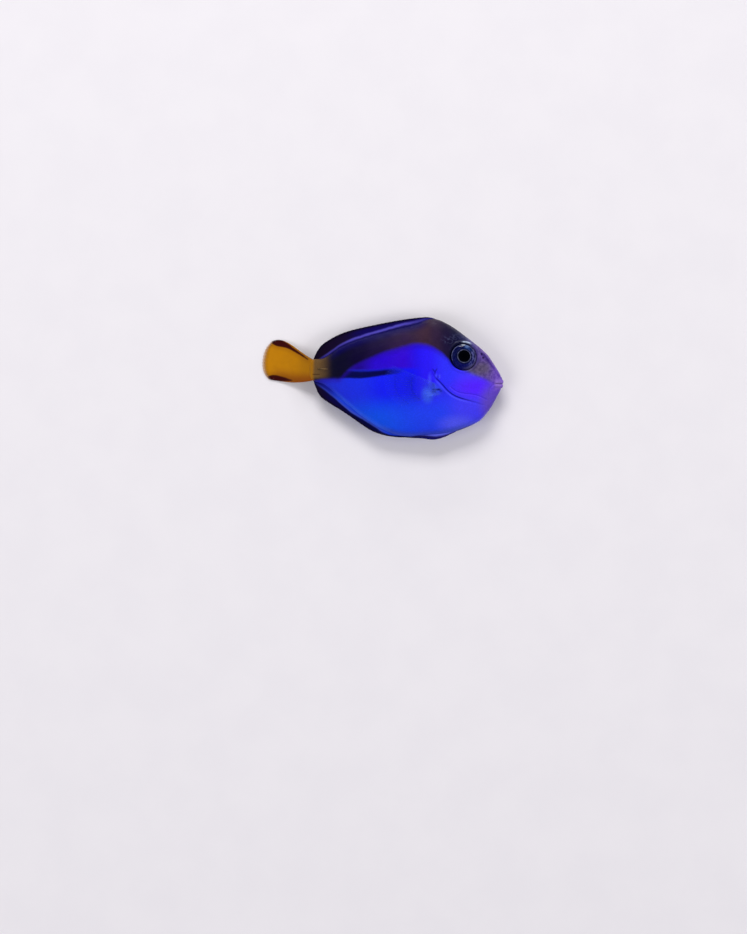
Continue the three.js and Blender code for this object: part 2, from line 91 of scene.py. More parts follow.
def spline(points, count):
    """Points along a smooth curve through the given ones."""
    points = np.array(points, float)
    last = len(points) - 1
    place = np.linspace(0, last, count)
    i = np.minimum(place.astype(int), last - 1)
    w = (place - i)[:, None]
    p0, p1 = points[np.maximum(i - 1, 0)], points[i]
    p2, p3 = points[i + 1], points[np.minimum(i + 2, last)]
    v0, v1 = (p2 - p0) / 2, (p3 - p1) / 2
    return (2 * p1 - 2 * p2 + v0 + v1) * w**3 + (3 * p2 - 3 * p1 - 2 * v0 - v1) * w**2 + v0 * w + p1


def from_line(line, x, y):
    """Distance from a line of the side view, counted positive on its left."""
    best = np.full(x.shape, 1e9)
    side = np.ones(x.shape)
    for a, b in zip(line[:-1], line[1:]):
        along = b - a
        share = np.clip(((x - a[0]) * along[0] + (y - a[1]) * along[1]) / along.dot(along), 0, 1)
        dx, dy = x - a[0] - share * along[0], y - a[1] - share * along[1]
        away = np.hypot(dx, dy)
        nearer = away < best
        best = np.where(nearer, away, best)
        side = np.where(nearer, np.where(along[0] * dy - along[1] * dx >= 0, 1.0, -1.0), side)
    return best * side


def smooth(low, high, value):
    t = np.clip((value - low) / (high - low), 0, 1)
    return t * t * (3 - 2 * t)


def hill(value, width):
    return np.exp(-((value / width) ** 2))


back_line = through([
    (-8.6, 2.4), (-7.2, 2.6), (-5.2, 4.0), (-2.7, 5.05), (1.0, 6.0), (4.1, 6.75), (6.3, 7.4),
    (8.4, 6.6), (10.9, 4.8), (13.0, 3.0), (14.2, 1.25), (14.6, 0.6), (14.75, 0.2),
])
belly_line = through([
    (-8.6, -0.25), (-7.2, -0.8), (-5.2, -2.55), (-2.7, -4.6), (-0.3, -6.2), (2.2, -7.1), (5.2, -7.12),
    (8.9, -6.62), (12.0, -5.3), (13.4, -3.75), (14.2, -2.35), (14.6, -1.6), (14.75, -1.25),
])
wide_level = through([(-8.6, 1.07), (-4, 0.75), (2, 0.3), (8, 0.7), (10.5, 1.1), (14.75, -0.55)])
half_width = through([
    (-8.6, 0.42), (-7.6, 0.72), (-6, 1.08), (-3, 1.68), (1, 2.16), (4.5, 2.26), (8, 2.06),
    (10.3, 1.8), (12.5, 1.26), (13.7, 0.86), (14.4, 0.56), (14.75, 0.32),
])
fullness = through([(-8.6, 0.6), (-4, 0.75), (3, 0.8), (8, 0.66), (11, 0.52), (14.75, 0.5)])

GILL_KNOTS = [
    (7.1, 8.4), (6.55, 6.0), (6.0, 3.6), (5.95, 1.7), (6.36, 0.3), (7.26, -0.67), (8.22, -1.7),
    (9.3, -2.36), (11.12, -2.88), (12.5, -3.25), (13.3, -4.4), (13.5, -5.4),
]
gill_line = spline(GILL_KNOTS, 110)
gill_slit = spline([(6.25, 4.4)] + GILL_KNOTS[2:10], 90)
cover_fold = spline([(8.5, -1.15), (9.2, -1.65), (10.2, -1.9), (11.1, -1.98), (12.0, -2.2), (12.9, -2.6)], 40)
cheek_fold = spline([(7.3, 3.3), (8.0, 1.9), (8.25, 0.4), (8.9, -0.6), (10.2, -1.15), (11.8, -1.3)], 40)
jaw_fold = spline([(13.95, -0.75), (13.5, -1.05), (13.25, -1.6), (13.3, -2.2)], 20)
flank_line = spline([
    (6.0, 4.6), (4.4, 4.9), (1.0, 4.2), (-2.5, 3.2), (-4.8, 2.2), (-6.4, 1.4), (-8.4, 1.1),
], 60)


def mid_height(x):
    back = np.clip((1 - x) / (1 - STALK_END), 0, 1)
    return MID_HEIGHT - TAIL_SAG * back * back


def flank(x, y):
    """Half the thickness of the flesh at a point of the side view."""
    level = wide_level(x)
    reach = np.where(y > level, back_line(x) - level, level - belly_line(x))
    share = np.minimum(np.abs(y - level) / reach, 1)
    return KEEL + (half_width(x) - KEEL) * (1 - share**SECTION_POWER) ** fullness(x)


# Making meshes

def show(name, data):
    """Puts a mesh, a lamp or a camera into the scene, at the origin."""
    made = bpy.data.objects.new(name, data)
    bpy.context.scene.collection.objects.link(made)
    return made


def store(mesh, values):
    """Keeps named values on the points of a mesh, for its finish to read."""
    for key, value in values.items():
        kept = mesh.attributes.new(key, "FLOAT", "POINT")
        kept.data.foreach_set("value", np.asarray(value, np.float32).ravel())


def new_object(name, points, faces, values, look):
    """An object from points in millimetres, with named values stored on its points."""
    mesh = bpy.data.meshes.new(name)
    mesh.from_pydata((np.asarray(points) * MM).tolist(), [], [list(map(int, f)) for f in faces])
    mesh.validate()
    store(mesh, values)
    mesh.polygons.foreach_set("use_smooth", [True] * len(mesh.polygons))
    mesh.materials.append(look)
    return show(name, mesh)


def grid_faces(rows, columns, ring=False):
    """Quads of a grid of points stored row by row. A ring joins its last column to its first."""
    r, c = np.meshgrid(np.arange(rows - 1), np.arange(columns if ring else columns - 1), indexing="ij")
    across = (c + 1) % columns
    corners = [r * columns + c, r * columns + across, (r + 1) * columns + across, (r + 1) * columns + c]
    return np.stack([k.ravel() for k in corners], 1)


def close_rings(rings, hubs=None):
    """Points and faces of a closed body, from a grid of rings and a hub at each end."""
    if hubs is None:
        hubs = [rings[0].mean(0), rings[-1].mean(0)]
    rows, columns = rings.shape[:2]
    faces = grid_faces(rows, columns, ring=True).tolist()
    first_hub, last_row = rows * columns, (rows - 1) * columns
    for c in range(columns):
        after = (c + 1) % columns
        faces += [[first_hub, after, c], [first_hub + 1, last_row + c, last_row + after]]
    return np.concatenate([rings.reshape(-1, 3), hubs]), faces


def grid_normals(points, ring=True):
    """Unit normals of a grid of points, rows by columns by three."""
    along = np.gradient(points, axis=0)
    if ring:
        across = np.roll(points, -1, 1) - np.roll(points, 1, 1)
    else:
        across = np.gradient(points, axis=1)
    normal = np.cross(across, along)
    return normal / np.maximum(np.linalg.norm(normal, axis=2, keepdims=True), 1e-9)


# Node trees for the finishes

def srgb(red, green, blue):
    def linear(v):
        v = v / 255
        return v / 12.92 if v <= 0.04045 else ((v + 0.055) / 1.055) ** 2.4

    return (linear(red), linear(green), linear(blue), 1.0)


def ink(colour):
    """A colour as the shader wants it. Three numbers are red, green and blue out of 255."""
    return srgb(*colour) if isinstance(colour, tuple) and len(colour) == 3 else colour


def greys(stops):
    """Stops of plain shares, as a run of colours takes them."""
    return [(at, (share,) * 4) for at, share in stops]


class Finish:
    """A material whose nodes are written as sums. Positions are in millimetres."""

    def __init__(self, name):
        self.material = bpy.data.materials.new(name)
        self.material.use_nodes = True
        self.nodes = self.material.node_tree.nodes
        self.links = self.material.node_tree.links
        self.shader = self.nodes["Principled BSDF"]
        place = self.nodes.new("ShaderNodeTexCoord")
        scaled = self.nodes.new("ShaderNodeVectorMath")
        scaled.operation = "SCALE"
        scaled.inputs["Scale"].default_value = 1000.0
        self.links.new(place.outputs["Object"], scaled.inputs[0])
        self.place = scaled.outputs["Vector"]
        split = self.nodes.new("ShaderNodeSeparateXYZ")
        self.links.new(self.place, split.inputs[0])
        self.x, self.y, self.z = split.outputs
        self.colour = None

    def put(self, socket, value):
        if isinstance(value, bpy.types.NodeSocket):
            self.links.new(value, socket)
        elif value is not None:
            socket.default_value = value

    def math(self, operation, a, b=None):
        node = self.nodes.new("ShaderNodeMath")
        node.operation = operation
        for socket, value in zip(node.inputs, (a, b)):
            self.put(socket, value)
        return node.outputs[0]

    def add(self, a, b):
        return self.math("ADD", a, b)

    def minus(self, a, b):
        return self.math("SUBTRACT", a, b)

    def over(self, a, b):
        return self.math("DIVIDE", a, b)

    def times(self, first, *others):
        for other in others:
            first = self.math("MULTIPLY", first, other)
        return first

    def value(self, name):
        node = self.nodes.new("ShaderNodeAttribute")
        node.attribute_name = name
        return node.outputs["Fac"]

    def step(self, value, low, high, start=0.0, end=1.0):
        """A smooth step of a value, from start at low to end at high."""
        node = self.nodes.new("ShaderNodeMapRange")
        node.interpolation_type = "SMOOTHSTEP"
        for socket, given in zip(node.inputs, (value, low, high, start, end)):
            self.put(socket, given)
        return node.outputs[0]

    def span(self, value, start, full, still, end):
        """Rises from start to full, and falls again from still to end."""
        return self.times(self.step(value, start, full), self.step(value, end, still))

    def line(self, value, width):
        """One where a value is nought, falling away on both sides."""
        return self.step(self.math("ABSOLUTE", value), width, 0.0)

    def texture(self, kind, size, stretch):
        shape = self.nodes.new("ShaderNodeMapping")
        shape.inputs["Scale"].default_value = stretch
        self.links.new(self.place, shape.inputs["Vector"])
        node = self.nodes.new(kind)
        node.inputs["Scale"].default_value = 1.0 / size
        self.links.new(shape.outputs[0], node.inputs["Vector"])
        return node

    def noise(self, size, detail, stretch=(1, 1, 1)):
        node = self.texture("ShaderNodeTexNoise", size, stretch)
        node.inputs["Detail"].default_value = detail
        return node.outputs["Fac"]

    def uneven(self, size, detail, low, high):
        """A number that strays between low and high over the piece."""
        return self.step(self.noise(size, detail), 0.3, 0.7, low, high)

    def waver(self, size, detail, reach):
        """A number that strays to both sides of nought."""
        return self.times(self.minus(self.noise(size, detail), 0.5), reach)

    def scales(self, size):
        """Distance from the middle of the nearest of many small cells."""
        node = self.texture("ShaderNodeTexVoronoi", size, SCALE_STRETCH)
        node.feature = "SMOOTH_F1"
        return node.outputs["Distance"]

    def spot(self, x, y, reach_x, reach_y, soft=0.6):
        """One inside an oval of the side view, falling away past its edge."""
        dx = self.over(self.minus(self.x, x), reach_x)
        dy = self.over(self.minus(self.y, y), reach_y)
        away = self.math("SQRT", self.add(self.times(dx, dx), self.times(dy, dy)))
        return self.step(away, 1 + soft, 1 - soft)

    def stroke(self, start, end, width):
        """A soft line between two points of the side view."""
        run_x, run_y = end[0] - start[0], end[1] - start[1]
        length = (run_x**2 + run_y**2) ** 0.5
        run_x, run_y = run_x / length, run_y / length
        dx, dy = self.minus(self.x, start[0]), self.minus(self.y, start[1])
        along = self.add(self.times(dx, run_x), self.times(dy, run_y))
        across = self.minus(self.times(dy, run_x), self.times(dx, run_y))
        within = self.span(along, -width, width, length - width, length + width)
        return self.times(self.line(across, width), within)

    def mix(self, share, base, over):
        node = self.nodes.new("ShaderNodeMix")
        node.data_type = "RGBA"
        self.put(node.inputs[0], share)
        self.put(node.inputs[6], ink(base))
        self.put(node.inputs[7], ink(over))
        return node.outputs[2]

    def paint(self, colour, *shares):
        """Lays a colour over what is painted so far, as strongly as the product of its shares."""
        self.colour = self.mix(self.times(*shares), self.colour, colour)

    def shades(self, value, stops):
        """A run of colours over a value, as pairs of the value and its colour."""
        low, high = stops[0][0], stops[-1][0]
        node = self.nodes.new("ShaderNodeValToRGB")
        node.color_ramp.interpolation = "EASE"
        scaled = self.over(self.minus(value, low), high - low)
        self.links.new(scaled, node.inputs[0])
        points = node.color_ramp.elements
        while len(points) < len(stops):
            points.new(0.5)
        for point, (at, colour) in zip(points, stops):
            point.position = (at - low) / (high - low)
            point.color = ink(colour)
        return node.outputs["Color"]

    def bump(self, height, depth_mm, strength, under=None):
        node = self.nodes.new("ShaderNodeBump")
        node.inputs["Strength"].default_value = strength
        node.inputs["Distance"].default_value = depth_mm * MM
        self.links.new(height, node.inputs["Height"])
        if under is not None:
            self.links.new(under, node.inputs["Normal"])
        return node.outputs["Normal"]

    def finish(self, **sockets):
        """Sets the shader's sockets, each named as in Blender but in small letters."""
        self.put(self.shader.inputs["Base Color"], self.colour)
        for name, value in sockets.items():
            self.put(self.shader.inputs[name.replace("_", " ").title().replace("Ior", "IOR")], value)
        return self.material


def round_eye(f, away):
    """How much a point lies ahead of the eye's middle, above it, and towards its low front."""
    reach = f.add(away, 0.01)
    ahead, above = f.over(f.minus(f.x, EYE_X), reach), f.over(f.minus(f.y, EYE_Y), reach)
    return ahead, above, f.minus(f.times(ahead, 0.75), f.times(above, 0.65))


def skin_finish():
    f = Finish("wet_skin")
    edge = f.add(f.waver(1.6, 4, 0.3), f.waver(0.35, 3, 0.12))
    back, belly = f.value("from_back"), f.value("from_belly")

    # The blue field, from the stalk to the cheek
    f.colour = f.shades(f.x, [
        (-8.0, (30, 44, 196)), (-3.0, (22, 42, 222)), (0.5, (15, 25, 236)), (3.5, (14, 14, 232)),
        (5.6, (38, 20, 236)), (8.0, (44, 44, 242)), (11.0, (66, 50, 246)), (15.0, (92, 60, 190)),
    ])
    for tone, oval, share in (
        ((6, 78, 232), (-0.2, -5.4, 5.6, 2.0, 0.85), 1.0), ((32, 64, 240), (6.5, -4.9, 4.6, 2.2, 0.8), 0.8),
        ((66, 58, 238), (10.6, -4.0, 2.0, 1.6, 0.8), 0.7), ((84, 88, 238),
        (9.3, -5.7, 1.9, 0.9, 0.8), 0.75),
        ((80, 30, 250), (11.7, -1.2, 2.4, 1.1, 0.8), 1.0), ((92, 66, 188),
        (13.6, -2.9, 1.3, 1.9, 0.7), 1.0),
    ):
        f.paint(tone, f.spot(*oval), share)
    # Painted light: the lower rear flank is painted brighter, offsetting the shade on its slope towards the belly
    # edge.
    f.paint((44, 100, 255), f.step(belly, 0.9, 0.1), f.span(f.x, -6.6, -4.6, 0.0, 1.5), 0.6)
    # Painted shade: the blue turns duller towards the belly edge of the middle body.
    f.paint((44, 66, 176), f.step(belly, 0.9, 0.15), f.span(f.x, -1.0, 1.5, 8.6, 12.8), 0.7)
    # Painted shade: a dark line along the keel under the throat, at its outline.
    keel_edge_shade = f.times(f.span(f.x, 8.2, 9.8, 9.8, 12.4), f.line(f.minus(f.z, MID_HEIGHT), 0.75))
    f.paint((16, 16, 112), f.step(belly, 0.34, 0.1), keel_edge_shade)

    # The violet patch that opens forward into the blue, and the dark streak under it
    above_streak = f.add(f.value("above_streak"), f.times(edge, 0.7))
    patch = f.times(f.step(above_streak, -0.2, 0.3), f.step(f.x, 5.6, 2.4))
    violet = f.shades(f.x, [
        (-5.0, (16, 6, 84)), (-3.2, (26, 2, 122)), (-0.5, (37, 0, 194)), (3.0, (46, 0, 198)),
    ])
    f.paint(violet, patch)
    above_low = f.add(f.value("above_low"), f.times(edge, 0.4))
    streak = f.times(f.step(above_streak, 0.22, -0.26), f.step(above_low, -0.12, 0.16), f.step(f.x, 3.4, 0.2))
    f.paint((2, 3, 72), streak)

    # The dark back, warm in front, near black behind and round the eye
    dark = f.shades(f.x, [
        (-8.0, (20, 20, 30)), (-5.0, (11, 9, 38)), (-3.0, (14, 6, 46)), (-0.5, (26, 13, 56)),
        (2.5, (44, 24, 62)), (5.4, (57, 34, 52)), (6.6, (46, 28, 56)), (7.9, (28, 18, 52)),
        (9.0, (16, 16, 50)), (10.1, (36, 38, 80)), (11.1, (84, 82, 138)), (14.8, (100, 76, 162)),
    ])
    dark = f.mix(f.step(f.noise(1.1, 5), 0.42, 0.72, 0.0, 0.22), dark, (14, 9, 28))
    above_blue = f.add(f.value("above_blue"), edge)
    f.paint((34, 2, 150), f.span(above_blue, -0.9, -0.15, 0.0, 0.5), f.step(f.x, 9.5, 6.5), 0.5)
    f.paint(dark, f.step(above_blue, -0.32, 0.3))

    # The face: lilac brow and snout, a tan patch in front of the eye, pale lips
    face = f.times(f.step(f.x, 10.4, 12.4), f.step(f.value("above_blue"), -0.6, 0.5))
    mottle = f.step(f.noise(0.4, 4), 0.35, 0.65)
    f.paint(f.mix(mottle, (72, 50, 124), (102, 78, 158)), face)
    f.paint(f.mix(mottle, (72, 62, 88), (92, 80, 106)), f.spot(12.15, 1.2, 1.5, 0.78, 0.7), 0.9)
    f.paint((44, 20, 106), f.line(f.minus(back, 0.66), 0.42), f.span(f.x, 11.6, 12.6, 13.9, 14.4), 0.9)
    # Painted highlight: a pale mauve edge along the head's upper profile.
    f.paint((128, 92, 162), f.step(back, 0.3, 0.0), f.step(f.x, 11.4, 12.6), 0.8)
    snout = f.times(f.step(f.x, 12.9, 14.3), f.step(f.y, -2.6, -1.2))
    f.paint(f.mix(mottle, (90, 56, 172), (116, 82, 192)), snout, 0.75)
    upper_side = f.step(f.z, 2.5, 3.1)
    f.paint((12, 8, 44), f.spot(9.1, 4.35, 1.1, 0.5, 0.7), upper_side, 0.7)
    # Painted highlight: faint pale curls of wet glints on the brow above the eye, on the shown side only.
    wet_glint_curls = f.line(f.minus(f.noise(0.5, 2), 0.5), 0.05)
    f.paint((104, 108, 150), wet_glint_curls, f.spot(8.9, 4.75, 1.4, 0.65, 0.5), upper_side, 0.24)
    f.paint((142, 108, 200), f.value("lips"))

    # The tan stalk of the tail
    stalk = f.step(f.add(f.x, f.times(edge, 1.6)), -6.0, -8.2)
    f.paint((100, 74, 42), stalk, f.step(f.add(f.y, f.times(edge, 0.5)), -0.25, 0.3))
    f.paint((152, 100, 6), f.step(f.add(f.x, f.times(edge, 0.6)), -8.25, -8.72))
    f.paint((58, 34, 14), f.stroke((-8.6, 0.52), (-7.7, 0.5), 0.09))

    # Lines: under each long fin, the gill opening and the folds by it, the eye's socket
    rear_back = f.span(f.x, -7.0, -5.2, 4.4, 6.2)
    f.paint((6, 0, 80), f.step(f.value("past_back"), -1.55, -0.25), rear_back)
    f.paint((62, 58, 160), f.line(f.value("past_back"), 0.24), rear_back)
    f.paint((52, 76, 196), f.line(f.value("past_belly"), 0.2), f.span(f.x, -7.2, -4.8, 0.6, 1.6))
    slit_share = f.shades(f.x, greys([(5.8, 0.0), (6.3, 0.1), (6.9, 0.85), (9.6, 1.0), (11.2, 0.25)]))
    slit_share = f.times(slit_share, f.step(f.y, 1.0, 0.2))
    f.paint((8, 8, 144), f.line(f.value("from_gill"), 0.13), slit_share)
    f.paint((84, 88, 255), f.line(f.add(f.value("from_gill"), 0.24), 0.14), slit_share, 0.6)
    f.paint((40, 20, 190), f.line(f.value("from_fold"), 0.1), 0.55)
    f.paint((112, 84, 255), f.line(f.add(f.value("from_fold"), 0.16), 0.1), 0.22)
    for start, end in (
        ((6.2, 1.08), (6.47, 0.72)), ((6.75, 1.08), (6.5, 0.72)), ((6.49, 0.74), (6.5, 0.42)),
        ((6.86, 0.2), (6.88, 0.02)),
    ):
        f.paint((10, 10, 130), f.stroke(start, end, 0.15), 0.75)
    for x, y, wide, tall in ((7.05, 0.15, 0.12, 0.24), (6.64, 0.24, 0.12, 0.22), (5.85, -0.3, 0.2, 0.7)):
        f.paint((76, 84, 250), f.spot(x, y, wide, tall, 0.8), 0.5)
    f.paint((58, 100, 232), f.spot(5.6, -2.1, 0.62, 0.85, 0.7), 0.75)
    f.paint((62, 92, 240), f.spot(6.6, -1.5, 0.7, 0.65, 0.7), 0.45)
    # Painted shade: dark lines where the foot of the right pectoral fin meets the flank.
    for start, end in (
        ((6.1, -1.48), (7.15, -1.46)), ((6.05, -1.78), (6.6, -1.74)), ((7.15, -1.64), (7.32, -1.66)),
    ):
        f.paint((2, 6, 112), f.stroke(start, end, 0.21))
    from_eye = f.value("from_eye")
    ahead, above, low_front = round_eye(f, from_eye)
    # The dark ring round the eye is its own colour. Towards the low front it is painted narrower, weaker and bluer:
    # painted light that offsets the shade in the groove round the eye.
    socket_edge = f.step(low_front, -0.5, 0.6, EYE_RADIUS + 0.42, EYE_RADIUS + 0.06)
    socket = f.times(f.step(from_eye, socket_edge, EYE_RADIUS + 0.02), f.step(low_front, 0.98, 0.5, 0.25, 1.0))
    shade = f.mix(f.step(above, -0.1, -0.7), (6, 8, 40), (10, 8, 140))
    lit = f.times(f.step(f.noise(0.34, 4), 0.44, 0.58), f.step(ahead, 0.1, 0.8))
    f.paint(f.mix(lit, shade, (80, 80, 136)), socket)
    beside_eye = f.times(f.step(from_eye, EYE_RADIUS + 0.75, EYE_RADIUS + 0.1), f.step(ahead, 0.4, 0.85))
    f.paint((56, 46, 112), beside_eye, 0.5)
    # Painted highlight: a pale glint along the top of the socket's rim.
    rim_highlight = f.times(f.line(f.minus(from_eye, EYE_RADIUS + 0.26), 0.14), f.step(above, 0.84, 0.96))
    rim_highlight = f.times(rim_highlight, f.step(ahead, -0.2, 0.05))
    f.paint((192, 206, 232), rim_highlight, f.step(f.noise(0.35, 3), 0.35, 0.55, 0.4, 1.0))
    # Painted shade in the nostril pits and in the cleft of the mouth.
    f.paint((20, 12, 40), f.value("nostril_shade"))
    f.paint((74, 44, 120), f.value("mouth_cleft_shade"), 0.5)

    # Minute scales, pores and an uneven gloss
    f.paint((2, 2, 20), f.step(f.scales(0.19), 0.2, 0.5), 0.1)
    shape = f.bump(f.scales(0.17), 0.02, 0.3)
    shape = f.bump(f.noise(0.12, 2), 0.012, 0.3, shape)
    shape = f.bump(f.noise(1.2, 2, (1.0, 0.6, 1.0)), 0.06, 0.2, shape)
    wet = f.step(f.noise(0.9, 4), 0.3, 0.75, 0.34, 0.5)
    return f.finish(roughness=wet, normal=shape, ior=1.4, specular_ior_level=0.3)


# The skin

def section(x):
    """Points down the right side of the body at x, evenly spaced along the skin."""
    level, top, bottom = float(wide_level(x)), float(back_line(x)), float(belly_line(x))
    turn = np.linspace(0, np.pi, 500)
    rise = np.cos(turn)
    reach = np.where(rise > 0, top - level, level - bottom)
    y = level + rise * reach
    edge_power = np.clip(1.7 * reach / KEEL, 4, 44)
    half = flank(np.full_like(y, x), y) * np.sqrt(1 - np.minimum(np.abs(rise), 1) ** edge_power)
    half[[0, -1]] = 0
    run = np.concatenate([[0], np.cumsum(np.hypot(np.diff(y), np.diff(half)))])
    even = np.linspace(0, run[-1], HALF_RING + 1)
    return np.interp(even, run, y), np.interp(even, run, half)


def skin_rings():
    """The bare body as a grid of points, ring by ring, with rounded ends."""
    trunk = np.linspace(STALK_END, HEAD_START, TRUNK_STATIONS, endpoint=False)
    head = HEAD_START + (SNOUT_END - HEAD_START) * np.linspace(0, 1, HEAD_STATIONS) ** 0.92
    rings = []
    for x in np.concatenate([trunk, head]):
        y, half = section(x)
        around_y = np.concatenate([y, y[-2:0:-1]])
        around_z = np.concatenate([half, -half[-2:0:-1]])
        rings.append(np.stack([np.full_like(around_y, x), around_y, mid_height(x) + around_z], 1))
    for end, reach in ((0, -0.4), (-1, 0.2)):
        ring = rings[end]
        centre = ring.mean(0)
        for turn in np.pi / 2 * np.arange(1, CAP_STATIONS + 1) / CAP_STATIONS:
            capped = centre + (ring - centre) * max(np.cos(turn), 0.06)
            capped[:, 0] = ring[:, 0] + reach * np.sin(turn)
            rings.insert(len(rings) if end else 0, capped)
    return np.array(rings)


def skin_values(x, y):
    """What the finish needs to know of each point of the skin, from its place on the bare body."""
    up = y - MOUTH_LEVEL
    return {
        "above_blue": y - blue_edge(x),
        "above_streak": y - streak_top(x),
        "above_low": y - streak_low(x),
        "from_back": back_line(x) - y,
        "past_back": y - dorsal_foot(x),
        "past_belly": belly_foot(x) - y,
        "from_belly": y - belly_line(x),
        "from_gill": from_line(gill_slit, x, y),
        "from_fold": from_line(cover_fold, x, y),
        "from_eye": np.hypot(x - EYE_X, y - EYE_Y),
        "lips": smooth(13.75, 14.15, x) * hill(up, 0.52),
        "mouth_cleft_shade": smooth(13.9, 14.15, x) * hill(up, 0.07),
        "nostril_shade": sum(hill(np.hypot(x - nx, y - ny), r * 0.8) for nx, ny, r in NOSTRILS),
    }


blue_edge = through([
    (-8.6, -0.3), (-7.6, -0.12), (-6.2, 0.0), (-5.2, 0.05), (-4.6, 0.6), (-3.6, 1.45), (-1.7, 2.34),
    (0.1, 3.11),
    (1.9, 3.67), (3.65, 4.11), (5.2, 4.12), (6.3, 3.76), (7.4, 2.97), (8.5, 1.88), (9.6, 1.12),
    (11.2, 0.57), (12.9, -0.1), (14.75, -0.76),
])
dorsal_foot = through([
    (-8.0, 2.25), (-6.8, 2.96), (-6.07, 3.47), (-5.2, 4.08), (-3.97, 4.68), (-2.73, 5.13), (-1.49, 5.53),
    (-0.25, 5.88), (0.99, 6.24), (2.23, 6.61), (4.09, 7.0), (5.33, 7.32), (6.4, 7.5),
])
belly_foot = through([
    (-8.5, -0.35), (-6.45, -1.84), (-3.97, -3.95), (-1.49, -5.48), (0.37, -6.72), (1.2, -6.95), (2.2, -7.0),
    (3.2, -6.95), (4.1, -6.92),
])
pelvic_foot = through([(3.0, -6.94), (4.6, -6.98), (5.6, -7.01), (6.8, -7.1), (8.0, -6.84), (9.1, -6.42)])
streak_top = through([
    (-8.6, 0.9), (-4.6, 1.0), (-3.9, 0.95), (-2.1, 0.86), (-0.3, 0.95), (1.2, 1.1), (2.3, 1.1), (4.6, 1.1),
])
streak_low = through([
    (-8.6, -0.2), (-7.6, -0.1), (-4.3, -0.05), (-2.1, -0.06), (0.1, 0.25), (2.3, 0.55), (4.6, 1.0),
])


def relief(x, y, z):
    """How far the skin stands out from the bare body, in millimetres."""
    from_rim = np.hypot(x - EYE_X, y - EYE_Y) - EYE_RADIUS
    out = 0.12 * hill(from_rim - 0.27, 0.14) - 1.1 * smooth(0.16, -0.14, from_rim)

    # The gill opening, the cover in front of it and the folds of the cheek
    gill, slit = from_line(gill_line, x, y), from_line(gill_slit, x, y)
    open_part = smooth(1.6, 0.1, y) * smooth(12.4, 10.4, x)
    lip = 0.03 * smooth(0.9, 0.1, np.abs(slit)) * (gill > 0) - 0.07 * hill(slit + 0.02, 0.07)
    behind = 0.035 * np.exp(np.minimum(gill, 0) / 0.9) * (gill < 0)
    out = out + (lip - behind) * open_part + 0.12 * hill(np.hypot((x - 9.7) / 1.7, y + 0.5), 1.0)
    for depth, fold, width in ((0.018, cover_fold, 0.08), (0.012, cheek_fold, 0.16), (0.05, jaw_fold, 0.09)):
        out = out - depth * hill(from_line(fold, x, y), width)

    # The nostrils and the lips
    for nx, ny, radius in NOSTRILS:
        away = np.hypot(x - nx, y - ny)
        out = out - 0.2 * hill(away, radius * 0.7) + 0.045 * hill(away - radius * 1.25, 0.06)
    up = y - MOUTH_LEVEL
    lips = 0.12 * hill(up - 0.27, 0.21) + 0.1 * hill(up + 0.25, 0.19) - 0.1 * hill(up, 0.05)
    lips = lips - 0.03 * hill(up - 0.62, 0.1) - 0.03 * hill(up + 0.55, 0.1)
    out = out + smooth(13.7, 14.2, x) * lips + 0.012 * hill(from_line(flank_line, x, y), 0.07)

    # The lobe at the root of the right pectoral fin
    lobe_x, lobe_y = x - 7.25, y + 1.15
    along, over = lobe_y * 0.914 - lobe_x * 0.406, lobe_x * 0.914 + lobe_y * 0.406
    lobe = hill(np.hypot(over / 0.5, along / 0.9), 1.0) * (z >= mid_height(x)) * smooth(0.0, -0.35, gill)

    sway = np.sin(1.9 * x + 0.8 * y) * np.sin(1.3 * y - 0.7 * x + 1.0) + np.sin(3.1 * x - 1.7) * np.sin(2.7 * y)
    return out + 0.34 * lobe + 0.008 * sway


def make_skin():
    bare = skin_rings()
    x, y, z = bare[..., 0], bare[..., 1], bare[..., 2]
    rings = bare + grid_normals(bare) * relief(x, y, z)[..., None]
    fold = folded_under(x, y) * (z < mid_height(x))
    rings[..., 2] = np.maximum(rings[..., 2], FOLD_DEPTH * fold)
    points, faces = close_rings(rings)
    values = {key: np.append(value, value.ravel()[[0, -1]]) for key, value in skin_values(x, y).items()}
    return new_object("skin", points, faces, values, skin_finish())


# Fins: a thin membrane, with rays that branch towards its margin

SINK = 0.35
LONG_FIN_ROOT_END, LONG_FIN_REAR = -7.1, -8.5
PELVIC_FRONT, PELVIC_REAR, PELVIC_SLANT = 9.1, 2.75, 1.9
TAIL_ROOT = np.array([(STALK_END + 0.5, 2.1), (STALK_END + 0.5, -0.05)])
TAIL_REST = 0.12
PECTORAL_ROOT = np.array([(6.5, -0.7), (7.1, -2.05)])
PECTORAL_REST = 0.1

tail_tips = spline([(-13.8, 4.74), (-14.66, 3.66), (-15.0, 2.05), (-14.8, 0.8), (-14.2, 0.0)], 80)
right_pectoral_tips = spline([(1.2, 1.5), (0.2, 0.1), (0.5, -2.0), (2.2, -3.6)], 60)
left_pectoral_tips = spline([(1.2, -2.7), (0.8, -3.5), (1.2, -4.3), (2.1, -4.9)], 60)
dorsal_margin = through([
    (-8.5, 2.38), (-8.3, 2.95), (-7.6, 4.05), (-6.5, 4.85), (-5.2, 5.52), (-3.7, 6.02),
    (-0.25, 6.78), (2.85, 7.33), (5.3, 7.6), (6.2, 7.52), (6.6, 7.38),
])
anal_margin = through([
    (-8.5, -0.26), (-8.3, -0.95), (-7.7, -2.15), (-6.45, -3.12), (-5.2, -3.88), (-3.97, -4.7),
    (-2.7, -5.6), (-1.5, -6.38), (-0.4, -6.85), (1.0, -7.18), (2.2, -7.3), (2.9, -7.3), (3.4, -7.29),
    (3.9, -7.28),
])
dorsal_lean = through([(0, 0.3), (0.3, 1.35), (0.8, 1.6), (1, 1.4)])
anal_lean = through([(0, 0.3), (0.3, 1.1), (0.8, 1.4), (1, 1.4)])


